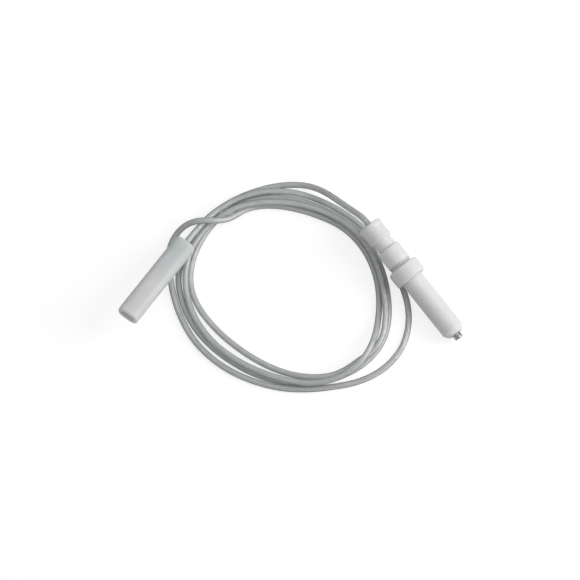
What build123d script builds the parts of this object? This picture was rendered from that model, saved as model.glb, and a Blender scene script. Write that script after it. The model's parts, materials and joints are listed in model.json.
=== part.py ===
from build123d import *
import math
import os

import numpy as np

# Ignition electrode on a coiled high-tension lead, with a boot-covered push-on terminal.
# Millimetres, +Z up. Everything is laid out round the middle of the coil, on the table it lies on, and moved
# at the end so that the origin is the middle of the whole object's underside.
TO_ORIGIN = (-2.53, -0.615, 0.02)

# Lead
LEAD_OD = 1.90
LEAD_BORE = 1.16
CONDUCTOR_D = 1.10
FLEX_GAP = 1.05  # the coiled lead stops this far from a flex point, so that a tail can swing there
COIL_PIECES = 17

# Ceramic insulator, from the rear face of its head towards the spark tip
HEAD_R = 3.75
HEAD_WAIST_R = 3.55
HEAD_LEN = 6.0
NECK_R = 3.05
NECK_LEN = 3.2
MID_R = 3.75
MID_LEN = 5.8
GROOVE_R = 3.40
GROOVE_LEN = 1.0
COLLAR_R = 5.0
COLLAR_LEN = 4.9
COLLAR_CHAMFER = 0.7
BARREL_R = 3.5
BARREL_LEN = 19.8
NOSE_R = 2.35
NOSE_LEN = 1.6
EDGE = 0.15  # small broken edges
HEAD_EDGE = 0.5
HEAD_RIM_LEN = 1.1
HEAD_WAIST_START = 2.0
HEAD_WAIST_END = 4.4
FRONT_RIM_R = 3.65
FRONT_RIM_START = 5.3
FRONT_RIM_EDGE = 0.25
MID_EDGE_R = 0.8  # the mid cylinder's rear edge is rounded
NOSE_EDGE = 0.25

# Bores of the ceramic
REAR_BORE_R = 2.3
REAR_BORE_LEN = 14.5
ROD_BORE_R = 1.15
SEAL_BORE_R = 1.85
SEAL_LEN = 3.0
SEAL_RECESS = 0.15
BORE_EDGE = 0.3
BORE_CONE_LEN = 1.0

# Spark rod and its joint to the lead
ROD_R = 1.0
TIP_R = 1.38
TIP_LEN = 1.7
FERRULE_R = 1.75
FERRULE_LEN = 7.0
FERRULE_START = 7.2
ROD_INSERT = 3.2
ROD_EDGE = 0.2
SHOULDER_START = 0.2  # from the bottom of the nose's wider bore
SHOULDER_LEN = 0.4
TIP_EDGE = 0.4
STOP_GAP = 0.3  # between the rod's end and the conductor's stop
CONDUCTOR_INSERT = 3.2
CRIMP_DEPTH = 0.25
CRIMP_SLOPE = 0.4
REAR_CRIMP = (0.9, 2.8)  # dents in the ferrule, from its rear end
FRONT_CRIMP = (4.7, 6.4)
POTTING_START = 0.9
POTTING_LEN = 5.6
POTTING_DISH = 0.25

# Insulating boot
BOOT_W = 6.8
BOOT_T = 5.2
BOOT_LEN = 30.6
BOOT_CORNER_R = 1.5
BOOT_WALL = 1.0
SLOT_W = 4.2
SLOT_T = 1.9
SLOT_DEPTH = 2.2
SLOT_CORNER_R = 0.4
CAVITY_CORNER_R = 0.6
MOUTH_CHAMFER = 0.5
REAR_FILLET = 1.0
CUT_OVER = 1.0  # how far a cutting shape runs past a face

# Push-on receptacle for a 2.8 mm wide, 0.8 mm thick tab
TAB_W = 2.8
TAB_T = 0.8
SHEET_T = 0.3
SOCKET_LEN = 6.4
SOCKET_FRONT = 27.9  # from the boot's rear end
NECK_STRIP_LEN = 1.6
WIRE_CRIMP_LEN = 3.0
SLEEVE_CRIMP_LEN = 2.6
CRIMP_GAP = 0.8
CRIMP_PLAY = 0.02
SEAM = 0.12
STRIP_W = 1.1
SIDE_PLAY = 0.25
SOCKET_H = 2.0
SOCKET_ROLL_R = 0.7
ROLL_OPENING = 0.7
STRIP_OVERLAP = 1.0
STRANDS_SHOWN = 0.4  # bare conductor beyond the wire crimp

# Where the electrode and the boot lie
ELECTRODE_REAR_XY = (26.3, 17.5)
ELECTRODE_HEADING = -51.3
ELECTRODE_TILT = -8.0  # the tip rests on the table and the head on the coil
BOOT_REAR = (-29.3, 12.88, 6.07)
BOOT_HEADING = -125.3
BOOT_TILT = 8.0  # the springy lead holds the mouth up
BOOT_PIVOT_BACK = 2.5  # the lead flexes this far behind the boot
ELECTRODE_PIVOT_AT = (19.75, 24.0, 7.1)
ENTRY_STRAIGHT = 1.0  # the lead is straight this far behind the head
TAIL_TURN = 12  # how far the lead's heading and tilt at the flex point differ from the electrode's

# The way of the lead: angle round the coil's middle, distance from it and height of the lead's axis.
# Four turns, clockwise seen from above, from the boot's lead to the electrode's lead.
FIRST_TURN = (
    (128, 31.4, 3.0), (110, 31.2, 2.9), (90, 30.6, 2.2), (75, 30.3, 0.95), (60, 29.9, 0.95),
    (30, 31.2, 0.95), (10, 34.3, 0.95), (-10, 38.8, 0.95), (-30, 40.7, 0.95), (-50, 37.8, 0.95),
    (-70, 32.8, 0.95), (-90, 30.6, 0.95), (-120, 30.4, 0.95), (-150, 31.2, 0.95), (-180, 32.7, 0.95),
    (-194, 35.5, 0.95), (-200, 36.5, 1.1), (-204, 36.7, 2.0), (-208, 36.3, 3.2), (-213, 34.9, 5.3),
)
SECOND_TURN = (
    (141, 31.5, 7.0), (134, 28.3, 6.0), (126, 27.1, 4.0), (116, 27.6, 2.5), (90, 26.4, 0.95),
    (75, 25.9, 0.95), (60, 26.4, 0.95), (45, 27.8, 0.95), (30, 28.2, 0.95), (0, 29.2, 0.95),
    (-20, 30.9, 2.2), (-42, 33.9, 5.6), (-62, 33.5, 4.2), (-90, 29.4, 0.95), (-120, 27.2, 0.95),
    (-150, 28.0, 0.95), (-180, 29.3, 0.95), (-210, 30.2, 0.95),
)
THIRD_TURN = (
    (136, 29.7, 1.8), (120, 28.9, 2.9), (90, 27.0, 2.9), (60, 27.2, 2.9), (30, 28.8, 2.9), (0, 30.5, 2.9),
    (-20, 33.2, 2.9), (-31, 34.3, 2.6), (-44, 33.1, 2.0), (-62, 32.3, 0.95), (-76, 29.7, 0.95),
    (-90, 26.8, 0.95), (-120, 23.4, 0.95), (-150, 24.2, 0.95), (-180, 27.9, 0.95), (-210, 29.4, 0.95),
)
FOURTH_TURN = (
    (120, 30.5, 0.95), (90, 29.4, 0.95), (60, 28.4, 0.95), (30, 29.7, 0.95), (0, 31.6, 0.95),
    (-30, 34.6, 0.95), (-60, 32.9, 0.95), (-90, 30.3, 0.95), (-120, 28.0, 0.95), (-150, 29.0, 0.95),
    (-180, 32.1, 0.95), (-210, 31.7, 0.95),
)
LAST_STRETCH = ((128, 31.4, 0.95), (110, 31.8, 0.95), (90, 33.1, 1.2), (76, 33.4, 3.0), (62, 31.9, 5.6))
END_STRAIGHT = 2.5  # the lead is straight this far at its flex points

# How the turns settle on one another
SETTLE_PITCH = 0.8  # distance between the points that are moved
SETTLE_GAP = 0.14
SETTLE_STEPS = 500
CALM_STEPS = 250
SINK = 0.006  # fall per step
STIFFNESS = 0.2
HOLD = 0.08  # pull back to the way laid down
NEIGHBOURS = 9  # points of one lead that don't press on each other
NEAR_REACH = 3.0  # points closer than this are watched for contact
WATCH_EVERY = 20
FIXED_ENDS = 4
SPLINE_EVERY = 6  # settled points per point of the finished curve


def direction(heading, tilt):
    """Unit vector at a heading in the table's plane and a tilt above it, in degrees."""
    h, t = math.radians(heading), math.radians(tilt)
    return Vector(math.cos(h) * math.cos(t), math.sin(h) * math.cos(t), math.sin(t))


def on_coil(angle, radius, height):
    """A point given by its angle round the coil, its distance from the middle and its height."""
    a = math.radians(angle)
    return Vector(radius * math.cos(a), radius * math.sin(a), height)


# Stations along the electrode's axis
NECK_START = HEAD_LEN
MID_START = NECK_START + NECK_LEN
GROOVE_START = MID_START + MID_LEN
COLLAR_START = GROOVE_START + GROOVE_LEN
BARREL_START = COLLAR_START + COLLAR_LEN
NOSE_START = BARREL_START + BARREL_LEN
CERAMIC_LEN = NOSE_START + NOSE_LEN

ELECTRODE_AXIS = direction(ELECTRODE_HEADING, ELECTRODE_TILT)
ELECTRODE_REAR_Z = BARREL_R * math.cos(math.radians(ELECTRODE_TILT)) - NOSE_START * ELECTRODE_AXIS.Z
ELECTRODE_REAR = Vector(ELECTRODE_REAR_XY[0], ELECTRODE_REAR_XY[1], ELECTRODE_REAR_Z)
ELECTRODE_FRAME = Plane(origin=ELECTRODE_REAR, z_dir=ELECTRODE_AXIS)

BOOT_AXIS = direction(BOOT_HEADING, BOOT_TILT)
BOOT_SIDE = direction(BOOT_HEADING + 90, 0)
BOOT_FRAME = Plane(origin=Vector(*BOOT_REAR), x_dir=BOOT_SIDE, z_dir=BOOT_AXIS)
BOOT_PIVOT = Vector(*BOOT_REAR) - BOOT_AXIS * BOOT_PIVOT_BACK
ELECTRODE_PIVOT = Vector(*ELECTRODE_PIVOT_AT)


def tail_start_direction():
    """Direction of the lead as it passes the electrode's flex point."""
    return direction(ELECTRODE_HEADING + TAIL_TURN, TAIL_TURN)


def lead_way():
    """The laid-down way of the coiled lead, from the boot's flex point to the electrode's."""
    turns = FIRST_TURN + SECOND_TURN + THIRD_TURN + FOURTH_TURN + LAST_STRETCH
    start = [BOOT_PIVOT, BOOT_PIVOT - BOOT_AXIS * END_STRAIGHT]
    end = [ELECTRODE_PIVOT - tail_start_direction() * END_STRAIGHT, ELECTRODE_PIVOT]
    return Spline(*start, *[on_coil(*place) for place in turns], *end)


def close_pairs(points):
    """Pairs of points that may press on each other: near in space but not along the lead."""
    gap = points[:, None, :] - points[None, :, :]
    return np.nonzero(np.triu((gap**2).sum(axis=2) < NEAR_REACH**2, k=NEIGHBOURS))


def pushed_apart(points, pairs, reach):
    """Move both points of each pair that is closer than reach apart by half of what is missing."""
    first, second = pairs
    gap = points[first] - points[second]
    distance = np.sqrt((gap**2).sum(axis=1)) + 1e-9
    push = gap * (0.5 * np.maximum(reach - distance, 0) / distance)[:, None]
    pressed = (distance < reach).astype(float)
    total = np.zeros_like(points)
    contacts = np.ones(len(points))
    np.add.at(total, first, push)
    np.add.at(total, second, -push)
    np.add.at(contacts, first, pressed)
    np.add.at(contacts, second, pressed)
    return points + total * (2 / contacts)[:, None]


def settled(points):
    """Let the turns fall on the table and on each other, and never closer than a lead and a gap."""
    laid = points.copy()
    for step in range(SETTLE_STEPS + CALM_STEPS):
        falling = step < SETTLE_STEPS
        if step % WATCH_EVERY == 0:
            pairs = close_pairs(points)
        shift = points - laid
        if falling:
            shift[:, 2] -= SINK
            shift[:, :2] *= 1 - HOLD
        shift[1:-1] += STIFFNESS * (shift[:-2] + shift[2:] - 2 * shift[1:-1])
        points = laid + shift
        if falling:
            points[1:-1, 2] += STIFFNESS * (points[:-2, 2] + points[2:, 2] - 2 * points[1:-1, 2])
        points = pushed_apart(points, pairs, LEAD_OD + SETTLE_GAP)
        points[:, 2] = np.maximum(points[:, 2], LEAD_OD / 2)
        points[:FIXED_ENDS] = laid[:FIXED_ENDS]
        points[-FIXED_ENDS:] = laid[-FIXED_ENDS:]
    return points


def lead_curve():
    """The coiled lead's axis after settling."""
    way = lead_way()
    count = round(way.length / SETTLE_PITCH / SPLINE_EVERY) * SPLINE_EVERY
    laid = way.positions([i / count for i in range(count + 1)])
    points = settled(np.array([tuple(p) for p in laid]))
    return Spline(*[Vector(*p) for p in points[::SPLINE_EVERY]])


def bar(path, diameter):
    """A solid round bar that follows a path."""
    section = Plane(origin=path.position_at(0), z_dir=path.tangent_at(0))
    return sweep((section * Circle(diameter / 2)).face(), path=path).solid()


def tube(path, outer_d, bore_d):
    """A hollow bar: the sides of two bars on one path, closed by a ring at each end."""
    outer, inner = bar(path, outer_d), bar(path, bore_d)
    sides = [f for f in (*outer.faces(), *inner.faces()) if f.geom_type != GeomType.PLANE]
    holes = [f for f in inner.faces() if f.geom_type == GeomType.PLANE]
    rings = []
    for end in [f for f in outer.faces() if f.geom_type == GeomType.PLANE]:
        hole = min(holes, key=lambda f: (f.center() - end.center()).length)
        rings.append(Face(end.outer_wire(), [hole.outer_wire()]))
    return Solid(Shell([*sides, *rings]))


def dome(frame):
    """Round start of a tail's insulation, centred on the flex point, so that the tail can swing."""
    outer, inner = LEAD_OD / 2, LEAD_BORE / 2
    half = math.acos(inner / outer) / 2
    edge = ThreePointArc(
        (outer, 0, 0),
        (outer * math.cos(half), 0, -outer * math.sin(half)),
        (inner, 0, -outer * math.sin(2 * half)),
    )
    outline = edge + Polyline(edge @ 1, (inner, 0, 0), (outer, 0, 0))
    return frame * revolve(make_face(outline), Axis.Z)


def coil_path():
    """The coiled lead's axis between its two flex points, in pieces of a quarter turn or so."""
    curve = lead_curve()
    start, end = FLEX_GAP / curve.length, 1 - FLEX_GAP / curve.length
    cuts = [start + (end - start) * i / COIL_PIECES for i in range(COIL_PIECES + 1)]
    return Wire([curve.trim(a, b) for a, b in zip(cuts, cuts[1:])])


def turned(frame, *profile):
    """A solid of revolution from (radius, station) points, standing on a frame."""
    outline = make_face(Polyline(*[(r, 0, z) for r, z in profile], close=True))
    return frame * revolve(outline, Axis.Z)


# ---- electrode ----


def ceramic_insulator():
    """White body: head, neck, mid cylinder, groove, collar, barrel and nose, with its stepped bore."""
    outer = (
        (0, 0), (HEAD_R - HEAD_EDGE, 0), (HEAD_R - EDGE, EDGE), (HEAD_R, HEAD_EDGE), (HEAD_R, HEAD_RIM_LEN),
        (HEAD_WAIST_R, HEAD_WAIST_START), (HEAD_WAIST_R, HEAD_WAIST_END), (FRONT_RIM_R, FRONT_RIM_START),
        (FRONT_RIM_R, HEAD_LEN - FRONT_RIM_EDGE), (FRONT_RIM_R - FRONT_RIM_EDGE, HEAD_LEN),
        (NECK_R, HEAD_LEN), (NECK_R, MID_START), (MID_R - MID_EDGE_R, MID_START),
        (MID_R - MID_EDGE_R * 0.3, MID_START + MID_EDGE_R * 0.3), (MID_R, MID_START + MID_EDGE_R),
        (MID_R, GROOVE_START - EDGE), (MID_R - EDGE, GROOVE_START), (GROOVE_R, GROOVE_START),
        (GROOVE_R, COLLAR_START), (COLLAR_R - COLLAR_CHAMFER, COLLAR_START),
        (COLLAR_R, COLLAR_START + COLLAR_CHAMFER), (COLLAR_R, BARREL_START - COLLAR_CHAMFER),
        (COLLAR_R - COLLAR_CHAMFER, BARREL_START), (BARREL_R, BARREL_START), (BARREL_R, NOSE_START),
        (NOSE_R + NOSE_EDGE, CERAMIC_LEN - NOSE_EDGE), (NOSE_R, CERAMIC_LEN), (0, CERAMIC_LEN),
    )
    bore = (
        (0, -CUT_OVER), (REAR_BORE_R + BORE_EDGE, -CUT_OVER), (REAR_BORE_R + BORE_EDGE, 0),
        (REAR_BORE_R, BORE_EDGE), (REAR_BORE_R, REAR_BORE_LEN), (ROD_BORE_R, REAR_BORE_LEN + BORE_CONE_LEN),
        (ROD_BORE_R, CERAMIC_LEN - SEAL_LEN), (SEAL_BORE_R, CERAMIC_LEN - SEAL_LEN),
        (SEAL_BORE_R, CERAMIC_LEN + CUT_OVER), (0, CERAMIC_LEN + CUT_OVER),
    )
    return turned(ELECTRODE_FRAME, *outer) - turned(ELECTRODE_FRAME, *bore)


def spark_rod():
    """Metal rod from the ferrule to the nose, with a thicker rounded tip."""
    rear = FERRULE_START + FERRULE_LEN - ROD_INSERT
    shoulder = CERAMIC_LEN - SEAL_LEN + SHOULDER_START
    tip_end = CERAMIC_LEN + TIP_LEN
    return turned(
        ELECTRODE_FRAME,
        (0, rear), (ROD_R - ROD_EDGE, rear), (ROD_R, rear + ROD_EDGE), (ROD_R, shoulder),
        (TIP_R, shoulder + SHOULDER_LEN), (TIP_R, tip_end - TIP_EDGE),
        (TIP_R - TIP_EDGE * 0.3, tip_end - TIP_EDGE * 0.3), (TIP_R - TIP_EDGE, tip_end), (0, tip_end),
    )


def nose_seal():
    """Cement ring that holds the rod's tip in the nose."""
    start = CERAMIC_LEN - SEAL_LEN + SHOULDER_START + SHOULDER_LEN + ROD_EDGE
    end = CERAMIC_LEN - SEAL_RECESS
    return turned(
        ELECTRODE_FRAME, (TIP_R, start), (SEAL_BORE_R, start), (SEAL_BORE_R, end), (TIP_R, end)
    )


def crimp_ferrule():
    """Metal sleeve crimped round the rod on one side and the conductor on the other."""
    stop = FERRULE_START + FERRULE_LEN - ROD_INSERT - STOP_GAP
    end = FERRULE_START + FERRULE_LEN
    waist = FERRULE_R - CRIMP_DEPTH
    outer = [(FERRULE_R, FERRULE_START)]
    for crimp_start, crimp_end in (REAR_CRIMP, FRONT_CRIMP):
        outer += [
            (FERRULE_R, FERRULE_START + crimp_start), (waist, FERRULE_START + crimp_start + CRIMP_SLOPE),
            (waist, FERRULE_START + crimp_end - CRIMP_SLOPE), (FERRULE_R, FERRULE_START + crimp_end),
        ]
    bore = [(FERRULE_R, end), (ROD_R, end), (ROD_R, stop), (CONDUCTOR_D / 2, stop)]
    return turned(ELECTRODE_FRAME, (CONDUCTOR_D / 2, FERRULE_START), *outer, *bore)


def rear_potting():
    """Plug of sealing compound round the lead, set back in the head and dished."""
    end = POTTING_START + POTTING_LEN
    inner = LEAD_OD / 2 + CRIMP_PLAY
    return turned(
        ELECTRODE_FRAME,
        (inner, POTTING_START), ((inner + REAR_BORE_R) / 2, POTTING_START + POTTING_DISH),
        (REAR_BORE_R, POTTING_START), (REAR_BORE_R, end), (inner, end),
    )


def electrode_tail_path(depth):
    """The lead from the electrode's flex point into the head, down to a depth in the bore."""
    inside = ELECTRODE_REAR + ELECTRODE_AXIS * depth
    entry = ELECTRODE_REAR - ELECTRODE_AXIS * ENTRY_STRAIGHT
    bend = Spline(ELECTRODE_PIVOT, entry, tangents=(tail_start_direction(), ELECTRODE_AXIS))
    return Wire([bend, Line(entry, inside)])


def electrode_tail_insulation():
    """Insulation from the flex point through the potting, near the ferrule's mouth."""
    path = electrode_tail_path(POTTING_START + POTTING_LEN)
    start = Plane(origin=ELECTRODE_PIVOT, z_dir=tail_start_direction())
    return tube(path, LEAD_OD, LEAD_BORE) + dome(start)


def electrode_tail_conductor():
    """Conductor from the flex point to the middle of the ferrule."""
    return bar(electrode_tail_path(FERRULE_START + CONDUCTOR_INSERT), CONDUCTOR_D)


# ---- terminal and boot ----


def insulating_boot():
    """Moulded cover: a slotted mouth, a cavity for the receptacle and an open rear."""
    body = extrude(RectangleRounded(BOOT_W, BOOT_T, BOOT_CORNER_R), BOOT_LEN)
    body = chamfer(body.faces().sort_by(Axis.Z)[-1].edges(), MOUTH_CHAMFER)
    body = fillet(body.faces().sort_by(Axis.Z)[0].edges(), REAR_FILLET)
    cavity = RectangleRounded(BOOT_W - 2 * BOOT_WALL, BOOT_T - 2 * BOOT_WALL, CAVITY_CORNER_R)
    slot = RectangleRounded(SLOT_W, SLOT_T, SLOT_CORNER_R)
    cavity_end = BOOT_LEN - SLOT_DEPTH
    body -= Pos(0, 0, -CUT_OVER) * extrude(cavity, cavity_end + CUT_OVER)
    body -= Pos(0, 0, cavity_end - CUT_OVER / 2) * extrude(slot, SLOT_DEPTH + CUT_OVER)
    return BOOT_FRAME * body


def crimp(inner_d, length):
    """A crimp barrel round +Z: sheet closed round the wire, with its seam on top."""
    inner = inner_d / 2 + CRIMP_PLAY
    ring = extrude(Circle(inner + SHEET_T) - Circle(inner), length)
    return ring - Pos(0, inner + SHEET_T / 2, length / 2) * Box(SEAM, 2 * SHEET_T, length)


def socket():
    """The part that grips the tab: a flat base with both edges rolled over the tab's face."""
    width = TAB_W + 2 * SIDE_PLAY + 2 * SHEET_T
    outer = Pos(0, SOCKET_H / 2) * RectangleRounded(width, SOCKET_H, SOCKET_ROLL_R)
    inner = Pos(0, SOCKET_H / 2) * RectangleRounded(
        width - 2 * SHEET_T, SOCKET_H - 2 * SHEET_T, SOCKET_ROLL_R - SHEET_T
    )
    opening = Pos(0, SOCKET_H) * Rectangle(ROLL_OPENING, 3 * SHEET_T)
    lip_h = SOCKET_H - SHEET_T - (SHEET_T + TAB_T)
    section = outer - inner - opening
    for side in (-1, 1):
        lip_x = side * (ROLL_OPENING + SHEET_T) / 2
        section += Pos(lip_x, SOCKET_H - SHEET_T - lip_h / 2) * Rectangle(SHEET_T, lip_h)
    return extrude(section, SOCKET_LEN)


def receptacle():
    """Push-on socket for a tab, with a wire crimp and an insulation crimp behind it, on one strip."""
    socket_start = SOCKET_FRONT - SOCKET_LEN
    wire_end = socket_start - NECK_STRIP_LEN
    wire_start = wire_end - WIRE_CRIMP_LEN
    sleeve_end = wire_start - CRIMP_GAP
    sleeve_start = sleeve_end - SLEEVE_CRIMP_LEN
    sleeve_floor = -LEAD_OD / 2 - CRIMP_PLAY - SHEET_T
    wire_floor = -CONDUCTOR_D / 2 - CRIMP_PLAY - SHEET_T
    socket_floor = -TAB_T / 2 - SHEET_T
    under = (
        (sleeve_floor, sleeve_start), (sleeve_floor, sleeve_end), (wire_floor, wire_start),
        (wire_floor, wire_end), (socket_floor, socket_start), (socket_floor, socket_start + STRIP_OVERLAP),
    )
    over = [(y + SHEET_T, z) for y, z in reversed(under)]
    side_view = make_face(Polyline(*[(0, y, z) for y, z in (*under, *over)], close=True))
    strip = extrude(side_view, STRIP_W / 2, dir=(1, 0, 0), both=True)
    part = strip + Pos(0, socket_floor, socket_start) * socket()
    part += Pos(0, 0, wire_start) * crimp(CONDUCTOR_D, WIRE_CRIMP_LEN)
    part += Pos(0, 0, sleeve_start) * crimp(LEAD_OD, SLEEVE_CRIMP_LEN)
    return BOOT_FRAME * part


def terminal_tail_path(station):
    """The lead from the boot's flex point to a station along the boot's axis."""
    return Line(BOOT_PIVOT, Vector(*BOOT_REAR) + BOOT_AXIS * station)


def terminal_tail_insulation():
    """Insulation from the flex point through the insulation crimp."""
    wire_start = SOCKET_FRONT - SOCKET_LEN - NECK_STRIP_LEN - WIRE_CRIMP_LEN
    path = terminal_tail_path(wire_start - CRIMP_GAP)
    return tube(path, LEAD_OD, LEAD_BORE) + dome(Plane(origin=BOOT_PIVOT, z_dir=BOOT_AXIS))


def terminal_tail_conductor():
    """Conductor from the flex point through the wire crimp."""
    wire_end = SOCKET_FRONT - SOCKET_LEN - NECK_STRIP_LEN
    return bar(terminal_tail_path(wire_end + STRANDS_SHOWN), CONDUCTOR_D)


COIL = coil_path()

NODES = {
    "lead_insulation": tube(COIL, LEAD_OD, LEAD_BORE),
    "lead_conductor": bar(COIL, CONDUCTOR_D),
    "ceramic_insulator": ceramic_insulator(),
    "spark_rod": spark_rod(),
    "nose_seal": nose_seal(),
    "crimp_ferrule": crimp_ferrule(),
    "rear_potting": rear_potting(),
    "electrode_tail_insulation": electrode_tail_insulation(),
    "electrode_tail_conductor": electrode_tail_conductor(),
    "receptacle": receptacle(),
    "terminal_tail_insulation": terminal_tail_insulation(),
    "terminal_tail_conductor": terminal_tail_conductor(),
    "insulating_boot": insulating_boot(),
}

os.makedirs("parts", exist_ok=True)
for name, shape in NODES.items():
    export_step(Pos(*TO_ORIGIN) * shape, f"parts/{name}.step")
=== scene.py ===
import json
import math

import bpy
import numpy as np
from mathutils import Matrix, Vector
from mathutils.kdtree import KDTree


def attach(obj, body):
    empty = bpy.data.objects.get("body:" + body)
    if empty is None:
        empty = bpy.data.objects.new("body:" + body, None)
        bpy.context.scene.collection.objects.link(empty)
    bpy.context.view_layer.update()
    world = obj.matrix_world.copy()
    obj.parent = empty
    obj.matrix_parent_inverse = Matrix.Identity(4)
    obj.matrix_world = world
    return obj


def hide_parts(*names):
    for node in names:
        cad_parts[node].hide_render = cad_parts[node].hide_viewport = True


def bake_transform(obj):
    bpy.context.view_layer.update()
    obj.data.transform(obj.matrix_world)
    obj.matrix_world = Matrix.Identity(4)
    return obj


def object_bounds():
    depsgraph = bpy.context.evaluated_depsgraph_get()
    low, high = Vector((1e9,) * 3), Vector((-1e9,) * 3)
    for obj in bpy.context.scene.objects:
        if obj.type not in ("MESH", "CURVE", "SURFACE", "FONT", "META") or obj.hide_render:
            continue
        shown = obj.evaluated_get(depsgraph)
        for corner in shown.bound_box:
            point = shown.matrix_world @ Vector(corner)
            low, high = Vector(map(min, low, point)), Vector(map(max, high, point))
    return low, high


# Ignition electrode on a coiled lead: the looks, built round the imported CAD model. Lengths are in metres,
# unless a comment says millimetres.

MM = 0.001

# Lead
LEAD_R = 0.95 * MM
BORE_R = 0.565 * MM
CONDUCTOR_R = 0.55 * MM
STRAND_R = CONDUCTOR_R / 3
STRAND_PLAY = 0.99  # outer strands have this share of their full radius, so that they don't touch
OUTER_STRANDS = 6
TWIST_PITCH = 13.0 * MM
RING_STEP = 0.8 * MM
SLEEVE_SIDES = 20
MIDDLE_STRAND_SIDES = 6
OUTER_STRAND_SIDES = 8
STRAIGHT_BEHIND = 1.0 * MM  # the lead enters the ceramic straight, from this far behind it
RUN_POINTS = 24
BEND_POINTS = 14

# Where the lead's end pieces bend when they're lifted
BOOT_FLEX_HALF = 3.5 * MM  # the lead bends this far on each side of a flex point
ELECTRODE_FLEX_HALF = 7.0 * MM
SPLIT_MARGIN = 1.5 * MM  # the coiled piece gives over to an end piece this far outside the bend

# Walk along the conductor's mesh
WALK_STEP = 1.0 * MM
WALK_LIMIT = 3000  # points
FIT_REACH = 1.5 * CONDUCTOR_R
FIT_SLAB = 0.6 * WALK_STEP
FIT_LEAST = 8  # surface points that a circle needs
BLIND_STEPS = 5  # the walk may start this many points short of the conductor
SMOOTH_ROUNDS = 3
CURVE_PARTS = 8  # parts that a stretch of curve between two points is cut into

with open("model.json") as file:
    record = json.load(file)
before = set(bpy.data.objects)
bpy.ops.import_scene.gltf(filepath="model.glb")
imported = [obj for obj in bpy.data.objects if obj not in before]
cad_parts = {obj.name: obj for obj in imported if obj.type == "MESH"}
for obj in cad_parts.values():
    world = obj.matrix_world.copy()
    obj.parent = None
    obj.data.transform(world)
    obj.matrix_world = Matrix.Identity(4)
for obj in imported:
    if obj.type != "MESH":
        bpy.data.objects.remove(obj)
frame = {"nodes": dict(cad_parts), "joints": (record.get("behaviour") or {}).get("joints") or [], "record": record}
bpy.context.view_layer.update()
cad_low, cad_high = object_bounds()
record = frame["record"]
joints = {j["name"]: j for j in frame["joints"]}
mounts = {m["name"]: m for m in record["mounts"]}


# ---- mesh helpers ----


def coordinates(node):
    """Vertices of a CAD node as rows of x, y, z."""
    mesh = frame["nodes"][node].data
    flat = np.empty(len(mesh.vertices) * 3)
    mesh.vertices.foreach_get("co", flat)
    return flat.reshape(-1, 3)


def unit(v):
    """The same direction with length 1."""
    v = np.asarray(v, float)
    return v / np.linalg.norm(v)


def lengths_along(points):
    """Length of a line of points from its start to each of them."""
    return np.concatenate(([0], np.cumsum(np.linalg.norm(np.diff(points, axis=0), axis=1))))


def local_frame(node, along):
    """Matrix with Z along the node, X level and the origin at the middle of the node's rear end."""
    z = unit(along)
    x = unit(np.cross((0, 0, 1), z))
    y = np.cross(z, x)
    axes = np.array((x, y, z))
    seen = coordinates(node) @ axes.T
    low, high = seen.min(0), seen.max(0)
    origin = axes.T @ np.array(((low[0] + high[0]) / 2, (low[1] + high[1]) / 2, low[2]))
    made = np.eye(4)
    made[:3, :3] = axes.T
    made[:3, 3] = origin
    return made


def placed(made, points):
    """Points given in a local frame, in the whole part's frame."""
    return np.asarray(points) @ made[:3, :3].T + made[:3, 3]


class Skin:
    """Collects surfaces made of rings of points, then makes one mesh object of them."""

    def __init__(self, name):
        """Start with no surface."""
        self.name = name
        self.points, self.faces, self.uvs, self.slots = [], [], [], []
        self.count = 0

    def face(self, corners, uvs, slot):
        """Note one face, with its place along and round the surface."""
        self.faces.append(corners)
        self.uvs += uvs
        self.slots.append(slot)

    def add(self, rings, loop=False, caps=False, edges=False, slot_of=None):
        """Join each ring to the next. A loop also joins the last to the first; caps close both ends with
        one face; edges close both ends of a bent sheet, whose ring goes out on one side and back on the
        other."""
        rings = np.asarray(rings, float)
        n, k = rings.shape[:2]
        base = self.count
        self.points.append(rings.reshape(-1, 3))
        self.count += n * k
        run = lengths_along(rings.mean(1))
        ends = ((base, run[0]), (base + (n - 1) * k, run[-1]))
        for i in range(n if loop else n - 1):
            a, b = base + i * k, base + (i + 1) % n * k
            slot = slot_of(i) if slot_of else 0
            u0, u1 = run[i], run[(i + 1) % n]
            for j in range(k):
                m = (j + 1) % k
                v0, v1 = j / k, (j + 1) / k
                uvs = [(u0, v0), (u0, v1), (u1, v1), (u1, v0)]
                self.face((a + j, a + m, b + m, b + j), uvs, slot)
        if caps:
            slot = slot_of(n) if slot_of else 0
            for (start, u), order in zip(ends, (reversed(range(k)), range(k))):
                self.face(tuple(start + j for j in order), [(u, j / k) for j in range(k)], slot)
        if edges:
            for start, u in ends:
                for j in range(k // 2 - 1):
                    corners = (start + j, start + j + 1, start + k - 2 - j, start + k - 1 - j)
                    self.face(corners, [(u, j / k)] * 4, 0)
        return self

    def build(self, *materials, sharp=40):
        """Make the object. Edges that turn more than `sharp` degrees aren't smoothed."""
        mesh = bpy.data.meshes.new(self.name)
        mesh.from_pydata(np.concatenate(self.points).tolist(), [], self.faces)
        layer = mesh.uv_layers.new(name="run")
        layer.data.foreach_set("uv", np.array(self.uvs, np.float32).ravel())
        mesh.polygons.foreach_set("material_index", np.array(self.slots, np.int32))
        mesh.polygons.foreach_set("use_smooth", np.ones(len(self.faces), bool))
        mesh.validate()
        mesh.update()
        mesh.set_sharp_from_angle(angle=math.radians(sharp))
        for m in materials:
            mesh.materials.append(m)
        made = bpy.data.objects.new(self.name, mesh)
        bpy.context.scene.collection.objects.link(made)
        return made


def show(piece, body, node):
    """Let a piece ride on a body, in place of a CAD node."""
    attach(piece, body)
    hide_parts(node)


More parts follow.
